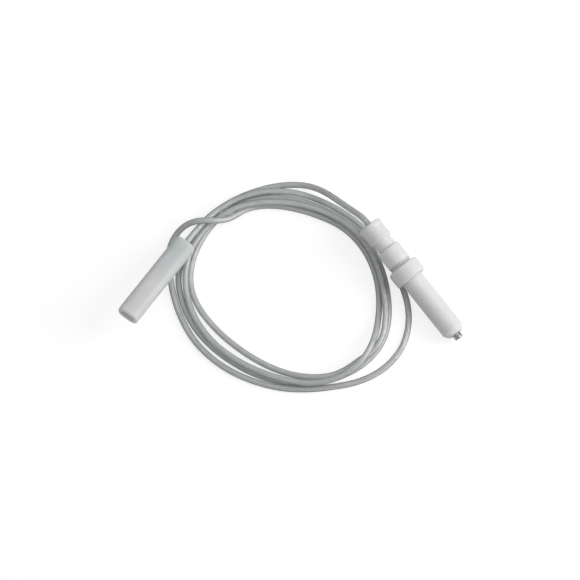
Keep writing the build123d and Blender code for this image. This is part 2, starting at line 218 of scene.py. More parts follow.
def rounded(corners, steps=6):
    """Outline through (x, y, fillet) corners, each turned with an arc of its fillet radius. No arc takes
    up more than 0.48 of the straight beside it."""
    out = []
    n = len(corners)
    for i, (x, y, r) in enumerate(corners):
        p = np.array((x, y))
        if r <= 0:
            out.append(p)
            continue
        before = np.array(corners[i - 1][:2]) - p
        after = np.array(corners[(i + 1) % n][:2]) - p
        a, b = unit(before), unit(after)
        half = math.acos(max(-1.0, min(1.0, float(a @ b)))) / 2
        back = min(r / math.tan(half), 0.48 * np.linalg.norm(before), 0.48 * np.linalg.norm(after))
        r = back * math.tan(half)
        middle = p + unit(a + b) * (r / math.sin(half))
        start, end = p + a * back - middle, p + b * back - middle
        sweep = math.pi - 2 * half
        for s in range(steps + 1):
            t = s / steps
            arc = math.sin((1 - t) * sweep) * start + math.sin(t * sweep) * end
            out.append(middle + arc / math.sin(sweep))
    return np.array(out)


def turned_rings(made, outline, sides=96):
    """Rings of a solid of revolution from (radius, station) points in millimetres."""
    turn = np.arange(sides) * 2 * math.pi / sides
    rings = []
    for radius, station in outline:
        ring = np.stack((radius * np.cos(turn), radius * np.sin(turn), np.full(sides, station)), 1)
        rings.append(placed(made, ring * MM))
    return rings


# ---- lead's axis ----


def tree_of(points):
    """Search tree of points, by their numbers."""
    tree = KDTree(len(points))
    for i, p in enumerate(points):
        tree.insert(p, i)
    tree.balance()
    return tree


def circle_middle(ahead, along, offset):
    """Middle of the circle across `along` that fits surface points, given as offsets from a point."""
    u = unit(np.cross(along, (0, 0, 1)))
    v = np.cross(along, u)
    x, y = offset @ u, offset @ v
    rows = np.column_stack((2 * x, 2 * y, np.ones(len(x))))
    fit = np.linalg.lstsq(rows, x * x + y * y, rcond=None)[0]
    return ahead + fit[0] * u + fit[1] * v


def lead_axis():
    """Walk along the conductor's mesh from the boot's flex point: at each step a circle is fitted to the
    surface points close by, and its middle is the next point of the axis."""
    surface = coordinates("lead_conductor")
    tree = tree_of(surface)
    at = np.array(joints["terminal_lift"]["pos_m"])
    end = np.array(joints["electrode_lift"]["pos_m"])
    along = -unit(joints["boot_slide"]["axis"])
    points = [at]
    while len(points) < WALK_LIMIT:
        ahead = at + along * WALK_STEP
        near = [i for _, i, _ in tree.find_range(ahead, FIT_REACH)]
        offset = surface[near] - ahead if near else np.empty((0, 3))
        offset = offset[np.abs(offset @ along) < FIT_SLAB]
        if len(offset) >= FIT_LEAST:
            middle = circle_middle(ahead, along, offset)
        elif len(points) > BLIND_STEPS:
            break
        else:
            middle = ahead
        along, at = unit(middle - at), middle
        points.append(at)
    while np.linalg.norm(points[-1] - end) < WALK_STEP:
        points.pop()
    points.append(end)
    return np.array(points)


def smoothed(points, rounds):
    """Take the small scatter out of a walked line. Its ends stay."""
    out = points.copy()
    for _ in range(rounds):
        out[1:-1] = 0.25 * out[:-2] + 0.5 * out[1:-1] + 0.25 * out[2:]
    return out


def even(points, step):
    """The same line through points an equal step apart, on a curve through the given ones."""
    padded = np.vstack((2 * points[0] - points[1], points, 2 * points[-1] - points[-2]))
    dense = []
    for p0, p1, p2, p3 in zip(padded, padded[1:], padded[2:], padded[3:]):
        for t in np.arange(0, 1, 1 / CURVE_PARTS):
            dense.append(
                0.5 * (2 * p1 + (p2 - p0) * t + (2 * p0 - 5 * p1 + 4 * p2 - p3) * t**2
                       + (3 * p1 - p0 - 3 * p2 + p3) * t**3)
            )
    dense.append(points[-1])
    dense = np.array(dense)
    run = lengths_along(dense)
    wanted = np.linspace(0, run[-1], max(2, round(run[-1] / step)) + 1)
    return np.stack([np.interp(wanted, run, dense[:, i]) for i in range(3)], 1)


def bend_between(p0, d0, p1, d1, count):
    """Points of a cubic from p0 to p1 with these end directions."""
    reach = np.linalg.norm(p1 - p0)
    t = np.linspace(0, 1, count)[:, None]
    return (
        (2 * t**3 - 3 * t**2 + 1) * p0 + (t**3 - 2 * t**2 + t) * d0 * reach
        + (3 * t**2 - 2 * t**3) * p1 + (t**3 - t**2) * d1 * reach
    )


def frames_along(points):
    """Tangent and two side directions at each point, turned as little as possible from point to point."""
    tangents = np.gradient(points, axis=0)
    tangents /= np.linalg.norm(tangents, axis=1)[:, None]
    u = unit(np.cross(tangents[0], (0, 0, 1)))
    sides = []
    for t in tangents:
        u = unit(u - t * (u @ t))
        sides.append((u, np.cross(t, u)))
    return tangents, np.array([s[0] for s in sides]), np.array([s[1] for s in sides])


def furthest(node, origin, along):
    """How far a node reaches along a direction from an origin."""
    return float(((coordinates(node) - origin) @ along).max())


electrode = local_frame("ceramic_insulator", mounts["barrel"]["axis"])
boot = local_frame("insulating_boot", joints["boot_slide"]["axis"])
electrode_rear, electrode_axis, boot_axis = electrode[:3, 3], electrode[:3, 2], boot[:3, 2]
boot_pivot = np.array(joints["terminal_lift"]["pos_m"])
electrode_pivot = np.array(joints["electrode_lift"]["pos_m"])

coil = smoothed(lead_axis(), SMOOTH_ROUNDS)
terminal_reach = furthest("terminal_tail_conductor", boot_pivot, boot_axis)
terminal_sleeve_reach = furthest("terminal_tail_insulation", boot_pivot, boot_axis)
electrode_reach = furthest("electrode_tail_conductor", electrode_rear, electrode_axis)
electrode_sleeve_reach = furthest("electrode_tail_insulation", electrode_rear, electrode_axis)

entry = electrode_rear - electrode_axis * STRAIGHT_BEHIND
terminal_run = boot_pivot + boot_axis * np.linspace(terminal_reach, 0, RUN_POINTS)[:, None]
electrode_bend = bend_between(
    electrode_pivot, unit(coil[-1] - coil[-3]), entry, electrode_axis, BEND_POINTS
)
inside = np.linspace(0, electrode_reach + STRAIGHT_BEHIND, BEND_POINTS)
electrode_run = entry + electrode_axis * inside[:, None]
axis_points = even(
    np.vstack((terminal_run[:-1], coil, electrode_bend[1:], electrode_run[1:])), RING_STEP
)
tangents, side_u, side_v = frames_along(axis_points)
stations = lengths_along(axis_points)


def nearest(point):
    """Number of the axis point that's closest to a point."""
    return int(np.linalg.norm(axis_points - point, axis=1).argmin())


def number_at(station):
    """Number of the axis point that's closest to a station."""
    return int(np.abs(stations - station).argmin())


boot_flex = nearest(boot_pivot)
electrode_flex = nearest(electrode_pivot)
boot_split = number_at(stations[boot_flex] + BOOT_FLEX_HALF + SPLIT_MARGIN)
electrode_split = number_at(stations[electrode_flex] - ELECTRODE_FLEX_HALF - SPLIT_MARGIN)
sleeve_first = number_at(terminal_reach - terminal_sleeve_reach)
sleeve_last = number_at(stations[-1] - (electrode_reach - electrode_sleeve_reach))


def twisted(numbers, off, phase):
    """A line wound round the lead's axis at a distance `off`: its points and two side directions."""
    rate = 2 * math.pi / TWIST_PITCH
    angle = (phase + stations[numbers] * rate)[:, None]
    u, v = side_u[numbers], side_v[numbers]
    at = axis_points[numbers] + off * (np.cos(angle) * u + np.sin(angle) * v)
    round_way = -np.sin(angle) * u + np.cos(angle) * v
    along = tangents[numbers] + off * rate * round_way
    along /= np.linalg.norm(along, axis=1)[:, None]
    u = np.cross(round_way, along)
    u /= np.linalg.norm(u, axis=1)[:, None]
    return at, u, np.cross(along, u)


def rings_round(at, u, v, radius, sides):
    """Rings round a line of points."""
    turn = np.arange(sides) * 2 * math.pi / sides
    c, s = np.cos(turn)[None, :, None], np.sin(turn)[None, :, None]
    return at[:, None, :] + radius * (c * u[:, None, :] + s * v[:, None, :])


def sleeve(name, first, last, *materials):
    """A length of the insulation: outer side, bore and both end rings."""
    numbers = np.arange(first, last + 1)
    line = axis_points[numbers], side_u[numbers], side_v[numbers]
    outer = rings_round(*line, LEAD_R, SLEEVE_SIDES)
    inner = rings_round(*line, BORE_R, SLEEVE_SIDES)[::-1]
    last_outer = len(numbers) - 1
    skin = Skin(name).add(
        np.concatenate((outer, inner)), loop=True, slot_of=lambda i: int(i >= last_outer)
    )
    return skin.build(*materials, sharp=60)


def strands(name, first, last, *materials):
    """A length of the conductor: strands twisted round a middle one."""
    numbers = np.arange(first, last + 1)
    line = axis_points[numbers], side_u[numbers], side_v[numbers]
    skin = Skin(name).add(rings_round(*line, STRAND_R, MIDDLE_STRAND_SIDES), caps=True)
    for i in range(OUTER_STRANDS):
        line = twisted(numbers, 2 * STRAND_R, 2 * math.pi * i / OUTER_STRANDS)
        skin.add(rings_round(*line, STRAND_R * STRAND_PLAY, OUTER_STRAND_SIDES), caps=True)
    return skin.build(*materials, sharp=60)


# ---- materials ----


SLEEVE_LETS_THROUGH = 0.85  # share of lamp light that the sleeve doesn't hold back from what's behind it
STRAND_LEVEL = 0.84
BOOT_REAR_ENDS = 0.004  # the boot's rear colour gives over to its front colour between these places
BOOT_FRONT_STARTS = 0.018
BOOT_CLEAR_SHARE = 0.10
GROOVE_REACH = 0.0016  # painted shade lies where the ceramic's own walls stand this close
# colour of the painted shade in the ceramic's grooves
GROOVE_SHADE = (0.50, 0.48, 0.44, 1)


class Nodes:
    """A node material that's put together line by line."""

    def __init__(self, name):
        """Start with an empty tree and its output."""
        self.material = bpy.data.materials.new(name)
        self.material.use_nodes = True
        self.tree = self.material.node_tree
        self.tree.nodes.clear()
        self.out = self.tree.nodes.new("ShaderNodeOutputMaterial")

    def node(self, kind, inputs=(), **settings):
        """A shader node with these settings, and these values or links in its inputs."""
        made = self.tree.nodes.new("ShaderNode" + kind)
        for key, value in settings.items():
            setattr(made, key, value)
        for key, value in dict(inputs).items():
            self.put(value, made.inputs[key])
        return made

    def put(self, value, socket):
        """Link a socket or a node's first output to an input, or set the input's own value."""
        if isinstance(value, bpy.types.NodeSocket):
            self.tree.links.new(value, socket)
        elif isinstance(value, bpy.types.Node):
            self.tree.links.new(value.outputs[0], socket)
        else:
            socket.default_value = value

    def place(self):
        """Place in the object's own coordinates, in metres."""
        return self.node("TexCoord").outputs["Object"]

    def run(self):
        """Place along and round a Skin's surface."""
        return self.node("UVMap", uv_map="run")

    def noise(self, scale, detail=4.0, rough=0.55, where=None, stretch=None):
        """Cloudy noise, at the object's own places or at others, which may be stretched."""
        where = where or self.place()
        if stretch:
            where = self.node("Mapping", {"Vector": where, "Scale": stretch})
        inputs = {"Vector": where, "Scale": scale, "Detail": detail, "Roughness": rough}
        return self.node("TexNoise", inputs)

    def ramp(self, value, *stops):
        """Colours between (place, colour) stops."""
        made = self.node("ValToRGB", {"Fac": value})
        points = made.color_ramp.elements
        while len(points) < len(stops):
            points.new(0.5)
        for point, (at, colour) in zip(points, stops):
            point.position = at
            point.color = (*colour, 1)
        return made

    def two_tone(self, value, low, high):
        """A ramp over the middle of a noise, whose ends are seldom reached."""
        return self.ramp(value, (0.3, low), (0.7, high))

    def scale(self, value, low, high):
        """A value from 0 to 1, brought to the range from low to high."""
        return self.node("MapRange", {"Value": value, "To Min": low, "To Max": high}).outputs[0]

    def bump(self, height, strength, distance, normal=None):
        """Normal of a bumpy surface, on top of another bump if that's given."""
        inputs = {"Height": height, "Strength": strength, "Distance": distance}
        if normal:
            inputs["Normal"] = normal
        return self.node("Bump", inputs).outputs["Normal"]

    def principled(self, **inputs):
        """The principled shader, with underscores for the spaces in its inputs' names."""
        names = {key.replace("_", " "): value for key, value in inputs.items()}
        return self.node("BsdfPrincipled", names)

    def mix(self, share, first, second):
        """Two shaders, with a share of the second."""
        return self.node("MixShader", {"Fac": share, 1: first.outputs[0], 2: second.outputs[0]})

    def finish(self, shader):
        """Put the shader on the surface and give the material back."""
        self.put(shader, self.out.inputs["Surface"])
        return self.material


def grey(level, warm=0.0):
    """A grey that leans to warm (positive) or cool (negative)."""
    return (level * (1 + warm), level, level * (1 - warm))


def insulation_material():
    """Silicone sleeve: a clear part that refracts and a milky part with painted shade at its sides, where it's
    seen edge-on, with fine extrusion lines. Part of a lamp's light passes it, so that what lies behind isn't in
    full shadow."""
    n = Nodes("insulation")
    lines = n.noise(9.0, 3.0, 0.6, n.run(), (12.0, 4.0, 1.0))
    haze = n.noise(260.0, 4.0, 0.6)
    speck = n.noise(1400.0, 2.0, 0.5)
    normal = n.bump(lines, 0.25, 0.00003)
    normal = n.bump(speck, 0.08, 0.00002, normal)
    clear = n.principled(
        Base_Color=n.two_tone(haze, grey(0.80, -0.015), grey(0.90)), Roughness=n.scale(speck, 0.10, 0.22),
        IOR=1.41, Transmission_Weight=1.0, Normal=normal,
    )
    # Painted shade: the milk darkens where the sleeve turns edge-on to the camera and is lightest where it faces
    # it.
    facing = n.node("LayerWeight", {"Blend": 0.5}).outputs["Facing"]
    edge_shade_and_haze = n.node("MixRGB", {"Fac": 0.25, 1: facing, 2: haze})
    milk_and_edge_shade = n.ramp(
        edge_shade_and_haze, (0.15, (0.88, 0.91, 0.90)), (0.45, (0.71, 0.735, 0.725)), (0.8, (0.27, 0.285, 0.28))
    )
    milk = n.principled(
        Base_Color=milk_and_edge_shade, Roughness=n.scale(haze, 0.22, 0.34), Specular_IOR_Level=0.65, Normal=normal
    )
    body = n.mix(n.scale(haze, 0.36, 0.50), clear, milk)
    shadow = n.node("LightPath").outputs["Is Shadow Ray"]
    pale_shadow = n.node("Math", {0: shadow, 1: SLEEVE_LETS_THROUGH}, operation="MULTIPLY")
    through = n.node("BsdfTransparent", {"Color": (*grey(0.96), 1)})
    return n.finish(n.mix(pale_shadow, body, through))


def bore_material():
    """Where the sleeve touches the strands there's no air gap, so light passes without bending."""
    n = Nodes("insulation_bore")
    tint = n.two_tone(n.noise(400.0, 2.0), grey(0.94, -0.01), grey(0.98))
    return n.finish(n.node("BsdfTransparent", {"Color": tint}))


def strand_material():
    """Tinned copper wire: bright, with drawing lines and dull patches."""
    n = Nodes("conductor")
    patches = n.noise(1300.0, 5.0, 0.65)
    lines = n.noise(30.0, 2.0, 0.5, n.run(), (3.0, 30.0, 1.0))
    dull = grey(STRAND_LEVEL * 0.72, 0.03)
    usual = grey(STRAND_LEVEL, 0.015)
    bright = grey(STRAND_LEVEL * 1.25)
    colour = n.ramp(patches, (0.30, dull), (0.55, usual), (0.75, bright))
    normal = n.bump(lines, 0.3, 0.00001)
    return n.finish(
        n.principled(Base_Color=colour, Metallic=1.0, Roughness=n.scale(patches, 0.24, 0.46), Normal=normal)
    )


def ceramic_material():
    """White steatite: dense, satin, with a fine pressed grain, faint cloudiness and painted shade in its
    grooves, where its own walls stand close."""
    n = Nodes("ceramic")
    cloud = n.noise(180.0, 4.0, 0.55)
    grain = n.noise(2600.0, 3.0, 0.6)
    pits = n.node("TexVoronoi", {"Vector": n.place(), "Scale": 900.0})
    pit = n.node("MapRange", {"Value": pits.outputs["Distance"], "From Min": 0.0, "From Max": 0.12})
    unshaded = n.two_tone(cloud, (0.82, 0.815, 0.80), (0.88, 0.88, 0.87))
    # Painted shade: the colour turns to a warm grey where the ceramic's own walls stand close round it.
    openness = n.node("AmbientOcclusion", {"Distance": GROOVE_REACH}, samples=8, only_local=True)
    groove_shade_share = n.node(
        "MapRange",
        {"Value": openness.outputs["AO"], "From Min": 0.4, "From Max": 0.92, "To Min": 0.7, "To Max": 0.0},
    )
    colour = n.node("MixRGB", {"Fac": groove_shade_share.outputs[0], 1: unshaded, 2: GROOVE_SHADE})
    normal = n.bump(grain, 0.16, 0.00003)
    normal = n.bump(pit, 0.10, 0.00002, normal)
    return n.finish(
        n.principled(
            Base_Color=colour, Roughness=n.scale(grain, 0.36, 0.5), Specular_IOR_Level=0.5,
            Subsurface_Weight=0.25, Subsurface_Radius=(0.0009, 0.0008, 0.0007), Subsurface_Scale=1.0,
            Normal=normal,
        )
    )


def metal_material(name, low, high, rough, tint):
    """Plain worked metal: a two-tone grey with fine marks."""
    n = Nodes(name)
    marks = n.noise(900.0, 4.0, 0.6)
    colour = n.two_tone(n.noise(350.0, 3.0, 0.5), grey(low, tint), grey(high, tint))
    normal = n.bump(marks, 0.2, 0.00002)
    return n.finish(
        n.principled(Base_Color=colour, Metallic=1.0, Roughness=n.scale(marks, *rough), Normal=normal)
    )


def matte_material(name, low, high, tint, grain_scale, rough, bump):
    """Cement or sealing compound: matte, mottled and slightly rough."""
    n = Nodes(name)
    grain = n.noise(grain_scale, 3.0, 0.6)
    colour = n.two_tone(n.noise(700.0, 4.0, 0.6), grey(low, tint), grey(high, tint))
    normal = n.bump(grain, bump, 0.00004)
    return n.finish(n.principled(Base_Color=colour, Roughness=n.scale(grain, *rough), Normal=normal))


def boot_material():
    """Milky translucent moulding: light spreads inside it, and its surface has a soft sheen. It's a little
    cooler towards the lead's end."""
    n = Nodes("boot")
    cloud = n.noise(120.0, 3.0, 0.5)
    skin = n.noise(1500.0, 3.0, 0.6)
    along = n.node("SeparateXYZ", {"Vector": n.run()}).outputs["X"]
    front = n.node("MapRange", {"Value": along, "From Min": BOOT_REAR_ENDS, "From Max": BOOT_FRONT_STARTS})
    rear_colour = n.two_tone(cloud, (0.70, 0.755, 0.745), (0.78, 0.82, 0.81))
    front_colour = n.two_tone(cloud, (0.85, 0.855, 0.85), (0.93, 0.93, 0.925))
    colour = n.node("MixRGB", {"Fac": front.outputs[0], 1: rear_colour, 2: front_colour})
    normal = n.bump(skin, 0.12, 0.00003)
    solid = n.principled(
        Base_Color=colour, Roughness=n.scale(skin, 0.34, 0.48), IOR=1.43,
        Subsurface_Weight=0.8, Subsurface_Radius=(0.0014, 0.0014, 0.0013), Subsurface_Scale=1.0,
        Normal=normal,
    )
    through = n.principled(
        Base_Color=colour, Roughness=0.5, IOR=1.2, Transmission_Weight=1.0, Normal=normal
    )
    return n.finish(n.mix(BOOT_CLEAR_SHARE, solid, through))


INSULATION = insulation_material()
BORE = bore_material()
STRAND = strand_material()
CERAMIC = ceramic_material()
ROD = metal_material("electrode_metal", 0.42, 0.62, (0.12, 0.22), 0.01)
CEMENT = matte_material("cement", 0.58, 0.70, 0.03, 2600.0, (0.75, 0.9), 0.3)
POTTING = matte_material("potting", 0.50, 0.60, 0.015, 1500.0, (0.45, 0.6), 0.15)
FERRULE = metal_material("ferrule", 0.48, 0.60, (0.22, 0.4), 0.02)
RECEPTACLE = metal_material("receptacle", 0.50, 0.64, (0.2, 0.36), 0.05)
BOOT = boot_material()


def paint(node, material):
    """Give a CAD node a finer material."""
    for slot in frame["nodes"][node].material_slots:
        slot.material = material


# ---- lead ----


def show_end(piece, node):
    """Put an end piece of the lead in place of a CAD node, with its placing baked into its mesh."""
    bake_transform(piece)
    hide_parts(node)


last_point = len(axis_points) - 1
coil_sleeve = sleeve("coil_sleeve", boot_split, electrode_split, INSULATION, BORE)
coil_strands = strands("coil_strands", boot_split, electrode_split, STRAND)
terminal_sleeve = sleeve("terminal_lead_sleeve", sleeve_first, boot_split, INSULATION, BORE)
terminal_strands = strands("terminal_lead_strands", 0, boot_split, STRAND)
electrode_sleeve = sleeve("electrode_lead_sleeve", electrode_split, sleeve_last, INSULATION, BORE)
electrode_strands = strands("electrode_lead_strands", electrode_split, last_point, STRAND)

show(coil_sleeve, "lead", "lead_insulation")
show(coil_strands, "lead", "lead_conductor")

show_end(terminal_sleeve, "terminal_tail_insulation")
show_end(terminal_strands, "terminal_tail_conductor")

show_end(electrode_sleeve, "electrode_tail_insulation")
show_end(electrode_strands, "electrode_tail_conductor")


# ---- electrode ----

# Stations from the ceramic's rear end and radii, in millimetres
HEAD_LEN = 6.0
HEAD_R = 3.75
HEAD_WAIST_R = 3.55
HEAD_FRONT_R = 3.66
NECK_R = 3.05
MID_START = 9.2
MID_R = 3.75
GROOVE_START = 15.0
GROOVE_R = 3.40
COLLAR_START = 16.0
COLLAR_R = 5.0
BARREL_START = 20.9
BARREL_R = 3.5
NOSE_START = 40.7
NOSE_R = 2.35
CERAMIC_LEN = 42.3
REAR_MOUTH_R = 2.6
LEAD_BORE_R = 2.3
LEAD_BORE_END = 14.5
ROD_BORE_R = 1.15
ROD_BORE_START = 15.5
SEAL_BORE_R = 1.85
SEAL_BORE_START = 39.3
ROD_REAR = 11.0
ROD_R = 1.0
ROD_AXIS_R = 0.2  # the end caps of the rod reach in to this radius, and one face closes the rest
TIP_START = 39.9
TIP_R = 1.38
TIP_END = 44.0
SEAL_START = 40.1
POTTING_END = 6.5
POTTING_BORE_R = 0.96


def ceramic_outline():
    """Radius, station and fillet: outside from rear to nose, then back through the bores."""
    return rounded((
        (REAR_MOUTH_R, 0.0, 0.12), (HEAD_R, 0.0, 0.45), (HEAD_R, 1.25, 0.9),
        (HEAD_WAIST_R, 1.9, 1.5), (HEAD_WAIST_R, 4.3, 1.5),
        (HEAD_FRONT_R, 5.1, 0.9), (HEAD_FRONT_R, HEAD_LEN, 0.3),
        (NECK_R, HEAD_LEN, 0.25), (NECK_R, MID_START, 0.25),
        (MID_R, MID_START, 0.75), (MID_R, GROOVE_START, 0.2),
        (GROOVE_R, GROOVE_START, 0.08), (GROOVE_R, COLLAR_START, 0.08),
        (COLLAR_R, COLLAR_START, 0.85), (COLLAR_R, BARREL_START, 0.85),
        (BARREL_R, BARREL_START, 0.2), (BARREL_R, NOSE_START, 0.5), (NOSE_R, CERAMIC_LEN, 0.25),
        (SEAL_BORE_R, CERAMIC_LEN, 0.1), (SEAL_BORE_R, SEAL_BORE_START, 0.0),
        (ROD_BORE_R, SEAL_BORE_START, 0.0), (ROD_BORE_R, ROD_BORE_START, 0.0),
        (LEAD_BORE_R, LEAD_BORE_END, 0.0), (LEAD_BORE_R, 0.3, 0.1),
    ))


def rod_outline():
    """The rod with its thicker tip, which has a shallow groove near its end."""
    return rounded((
        (ROD_AXIS_R, ROD_REAR, 0.0), (ROD_R, ROD_REAR, 0.2), (ROD_R, TIP_START - 0.3, 0.1),
        (TIP_R, TIP_START, 0.1), (TIP_R, 43.1, 0.1), (TIP_R - 0.1, 43.25, 0.1), (TIP_R - 0.1, 43.45, 0.1),
        (TIP_R - 0.02, 43.6, 0.1), (1.3, 43.85, 0.15), (1.05, TIP_END, 0.15), (ROD_AXIS_R, TIP_END, 0.0),
    ))


def seal_outline():
    """Cement between the tip and its bore, a little hollow on its face."""
    inner, outer = TIP_R + 0.005, SEAL_BORE_R - 0.01
    return rounded((
        (inner, SEAL_START, 0.0), (outer, SEAL_START, 0.0), (outer, 42.2, 0.05),
        (1.62, 42.1, 0.15), (inner, 42.18, 0.04),
    ))


def potting_outline():
    """Compound round the lead in the rear bore, with a sunken face that climbs at both sides."""
    outer = LEAD_BORE_R - 0.01
    return rounded((
        (POTTING_BORE_R, 0.75, 0.1), (1.3, 1.05, 0.3), (1.9, 1.05, 0.3), (outer, 0.8, 0.1),
        (outer, POTTING_END, 0.0), (POTTING_BORE_R, POTTING_END, 0.0),
    ))


def turned(name, outline, material, sharp=40, **ends):
    """A piece of the electrode, turned round its axis."""
    return Skin(name).add(turned_rings(electrode, outline), **ends).build(material, sharp=sharp)


ceramic = turned("ceramic_body", ceramic_outline(), CERAMIC, sharp=50, loop=True)
show(ceramic, "electrode", "ceramic_insulator")
rod = turned("spark_tip", rod_outline(), ROD, sharp=35, caps=True)
show(rod, "electrode", "spark_rod")
seal = turned("nose_cement", seal_outline(), CEMENT, loop=True)
show(seal, "electrode", "nose_seal")
potting = turned("rear_sealing", potting_outline(), POTTING, loop=True)
show(potting, "electrode", "rear_potting")
paint("crimp_ferrule", FERRULE)


# ---- boot ----

# Sizes in millimetres
BOOT_W, BOOT_T, BOOT_LEN = 6.8, 5.2, 30.6
BOOT_CORNER = 1.6
BOOT_CROWN = 0.24
CORNER_SHRINK = 0.5  # share of an inset that comes off the corner's radius
REAR_ROUND = 0.9
MOUTH_ROUND = 0.45
MOUTH_INSET = 0.75
SIDE_LEN = BOOT_LEN - 1.5
SLOT_W, SLOT_T, SLOT_DEPTH, SLOT_CORNER = 4.2, 1.9, 2.2, 0.4
SLOT_TO_CAVITY = 0.05  # length over which the slot widens into the cavity
SLOT_WAY = ((-0.12, 0.0), (-0.03, 0.04), (0.0, 0.12), (0.0, 1.2), (0.0, SLOT_DEPTH))  # inset, depth
CAVITY_W, CAVITY_T, CAVITY_CORNER = 4.8, 3.2, 0.6
EDGE_PARTS = 6
SIDE_PARTS = 20
CAVITY_PARTS = 11


def box_ring(width, thickness, corner, station, crown=0.0, corner_steps=8, side_steps=8):
    """A rounded rectangle across the boot, always with the same number of points. A crown lowers the ends
    of its long sides, so that their middles stand out."""
    corners = []
    for quarter, (sx, sy) in enumerate(((1, 1), (-1, 1), (-1, -1), (1, -1))):
        cx, cy = sx * (width / 2 - corner), sy * (thickness / 2 - corner)
        for i in range(corner_steps + 1):
            a = math.radians(90 * quarter + 90 * i / corner_steps)
            corners.append((cx + corner * math.cos(a), cy + corner * math.sin(a)))
    ring = []
    for i, p in enumerate(corners):
        ring.append(p)
        if i % (corner_steps + 1) == corner_steps:
            q = corners[(i + 1) % len(corners)]
            for s in range(1, side_steps):
                t = s / side_steps
                ring.append((p[0] + (q[0] - p[0]) * t, p[1] + (q[1] - p[1]) * t))
    return [(x, y * (1 - crown * (2 * x / width) ** 2), station) for x, y in ring]


def outer_ring(inset, station):
    """Outline of the boot's outside, brought in by an inset."""
    corner = BOOT_CORNER - inset * CORNER_SHRINK
    return box_ring(BOOT_W - 2 * inset, BOOT_T - 2 * inset, corner, station, BOOT_CROWN)


def cavity_ring(station):
    """Outline of the space round the receptacle."""
    return box_ring(CAVITY_W, CAVITY_T, CAVITY_CORNER, station)


def boot_rings():
    """From the rounded rear rim along the outside to the mouth, then through the slot and the cavity back
    to the rear."""
    rings = []
    quarter = [math.radians(90 * i / EDGE_PARTS) for i in range(EDGE_PARTS + 1)]
    for a in quarter:
        rings.append(outer_ring(REAR_ROUND * (1 - math.sin(a)), REAR_ROUND * (1 - math.cos(a))))
    for i in range(1, SIDE_PARTS):
        rings.append(outer_ring(0, REAR_ROUND + SIDE_LEN * i / SIDE_PARTS))
    for a in quarter:
        inset = MOUTH_ROUND * (1 - math.cos(a))
        rings.append(outer_ring(inset, BOOT_LEN - MOUTH_ROUND * (1 - math.sin(a))))
    rings.append(outer_ring(MOUTH_INSET, BOOT_LEN))
    for inset, depth in SLOT_WAY:
        rings.append(box_ring(SLOT_W - 2 * inset, SLOT_T - 2 * inset, SLOT_CORNER, BOOT_LEN - depth))
    cavity_len = BOOT_LEN - SLOT_DEPTH
    rings.append(cavity_ring(cavity_len - SLOT_TO_CAVITY))
    for i in range(1, CAVITY_PARTS + 1):
        rings.append(cavity_ring(cavity_len * (1 - i / CAVITY_PARTS)))
    return [placed(boot, np.array(ring) * MM) for ring in rings]


boot_piece = Skin("boot_cover").add(boot_rings(), loop=True).build(BOOT, sharp=50)
show(boot_piece, "boot", "insulating_boot")


# ---- receptacle ----

# Stations from the boot's rear end and sizes across, in millimetres, and turns in radians
SHEET_T = 0.3
SEAM_HALF = 0.06
SLEEVE_CRIMP_START, SLEEVE_CRIMP_END, SLEEVE_CRIMP_R = 13.5, 16.1, 1.12
WIRE_CRIMP_START, WIRE_CRIMP_END, WIRE_CRIMP_R = 16.9, 19.9, 0.72
BELL, BELL_LEN = 0.07, 0.35  # the crimps flare a little at their ends
SEAM_OPENS = 0.2  # this far past a crimp's end the barrel is an open trough
TROUGH_AFTER = 0.6
TROUGH_R, TROUGH_FLOOR, TROUGH_TURN = 0.9, -0.8, 1.75
NECK_STATION, NECK_FLOOR, NECK_TURN = 20.7, -0.65, 1.8
SOCKET_FLOOR, SOCKET_FLARED_FLOOR = -0.55, -0.59
SOCKET_STATIONS = (21.5, 21.8, 24.7, 27.6)
SOCKET_OPEN_STATION, SOCKET_FLARED_STATION = 21.3, 27.9

# Half a section as (length, turn) bends from the middle of its floor
NECK = ((0.5, 0.0), (0.8, 1.4), (0.5, 0.0))
SOCKET_OPEN = ((0.95, 0.0), (0.8, math.pi / 2), (0.35, 0.0))
SOCKET = ((1.26, 0.0), (0.85, math.pi / 2), (0.74, 0.0), (1.32, math.pi), (0.35, 0.0))
SOCKET_FLARED = ((1.3, 0.0), (0.85, math.pi / 2), (0.78, 0.0), (1.32, math.pi * 0.93), (0.25, 0.0))


def half_profile(bends, floor, count=22, steps=24):
    """Right half of a bent sheet's middle line: it starts at the bottom, going sideways, and each
    (length, turn) bends it upwards evenly. Rows of x, y and heading, an equal length apart."""
    x, y, heading, run = 0.0, floor, 0.0, 0.0
    rows = [(run, x, y, heading)]
    for length, turn in bends:
        for _ in range(steps):
            heading += turn / (2 * steps)
            x += math.cos(heading) * length / steps
            y += math.sin(heading) * length / steps
            heading += turn / (2 * steps)
            run += length / steps
            rows.append((run, x, y, heading))
    rows = np.array(rows)
    wanted = np.linspace(0, run, count)
    return np.stack([np.interp(wanted, rows[:, 0], rows[:, i]) for i in (1, 2, 3)], 1)


def sheet_ring(station, floor, bends):
    """Outline across a bent sheet at a station."""
    right = half_profile(bends, floor)
    left = right[:0:-1] * (-1, 1, -1)
    line = np.vstack((left, right))
    inwards = np.stack((-np.sin(line[:, 2]), np.cos(line[:, 2])), 1)
    outer = line[:, :2] - inwards * SHEET_T / 2
    inner = line[:, :2] + inwards * SHEET_T / 2
    ring = np.vstack((outer, inner[::-1]))
    return np.column_stack((ring, np.full(len(ring), station)))


def barrel_ring(station, radius, floor, turn=math.pi):
    """A crimp barrel's section: all the way round, or an open trough for a smaller turn."""
    reach = turn - SEAM_HALF / radius
    return sheet_ring(station, floor, ((radius * reach, reach),))


def crimp_rings(start, end, radius):
    """A crimp barrel that's closed up to its seam."""
    flares = ((start, BELL), (start + BELL_LEN, 0), (end - BELL_LEN, 0), (end, BELL))
    return [barrel_ring(station, radius + flare, -radius - flare) for station, flare in flares]


